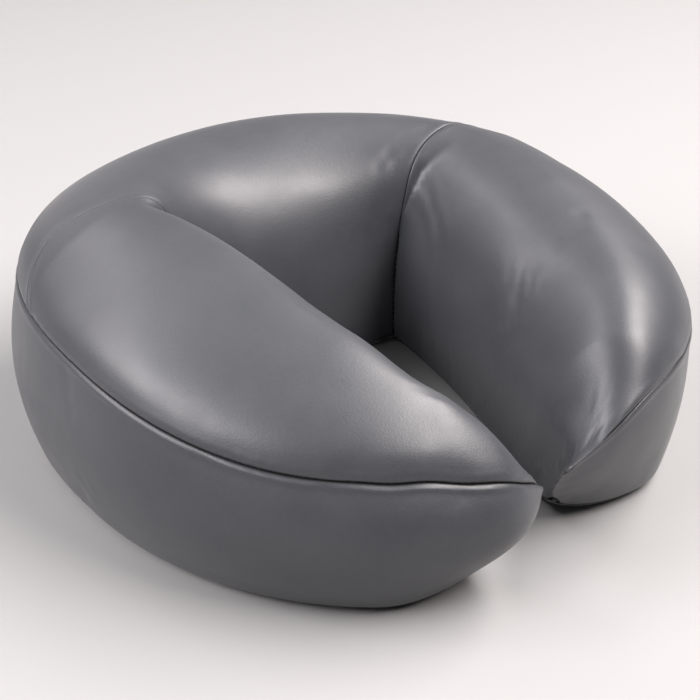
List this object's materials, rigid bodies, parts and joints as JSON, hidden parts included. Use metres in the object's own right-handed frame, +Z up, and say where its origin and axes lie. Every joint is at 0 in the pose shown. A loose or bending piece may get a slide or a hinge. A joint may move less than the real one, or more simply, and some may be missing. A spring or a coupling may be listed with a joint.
{
  "type": "face cradle cushion",
  "caption": "Horseshoe-shaped upholstered face cradle cushion with a tapered face opening, sewn vinyl panels over layered foam, loop strips and a zip underneath.",
  "frame": {"origin": "centre of the bounding box, on the surface that the pad rests on", "axes": "+Z up through the face side, +Y towards the crown of the head, the two arms point along -Y, +X to the right seen from above with +Y ahead"},
  "size_m": [0.3022, 0.3122, 0.1232],
  "materials": {
    "vinyl": "smooth satin slate-grey vinyl with a fine pebble grain",
    "thread": "charcoal polyester thread",
    "base_fabric": "black woven nylon backing fabric",
    "firm_foam": "open-cell polyurethane foam",
    "memory_foam": "slow-recovery polyurethane foam",
    "loop_pile": "black brushed loop pile",
    "zip_tape": "black herringbone zip tape",
    "zip_coil": "black nylon coil",
    "zip_metal": "black lacquered zinc"
  },
  "bodies": {
    "cushion": {"crown_panel": "vinyl", "left_cheek_panel": "vinyl", "right_cheek_panel": "vinyl", "outer_band": "vinyl", "base_panel": "base_fabric", "left_cross_seam": "thread", "right_cross_seam": "thread", "left_tip_seam": "thread", "right_tip_seam": "thread", "top_seam": "thread", "base_seam": "thread", "foam_base": "firm_foam", "foam_topper": "memory_foam", "left_loop_strip": "loop_pile", "right_loop_strip": "loop_pile", "rear_loop_strip": "loop_pile", "zip_tape_front": "zip_tape", "zip_tape_rear": "zip_tape", "zip_coil_front": "zip_coil", "zip_coil_rear": "zip_coil", "zip_top_stops": "zip_metal", "zip_bottom_stop": "zip_metal"},
    "slider": {"zip_slider": "zip_metal"},
    "pull": {"zip_pull": "zip_metal"}
  },
  "joints": [
    {"name": "zip_slide", "type": "slide", "parent": "cushion", "child": "slider", "axis": [-1, 0, 0], "range_m": [0, 0.13], "deforming": ["zip_coil_front", "zip_coil_rear"]},
    {"name": "pull_swing", "type": "hinge", "parent": "slider", "child": "pull", "pos_m": [0.0719, 0.112, 0.00075], "axis": [0, -1, 0], "range_deg": [0, 150]}
  ]
}
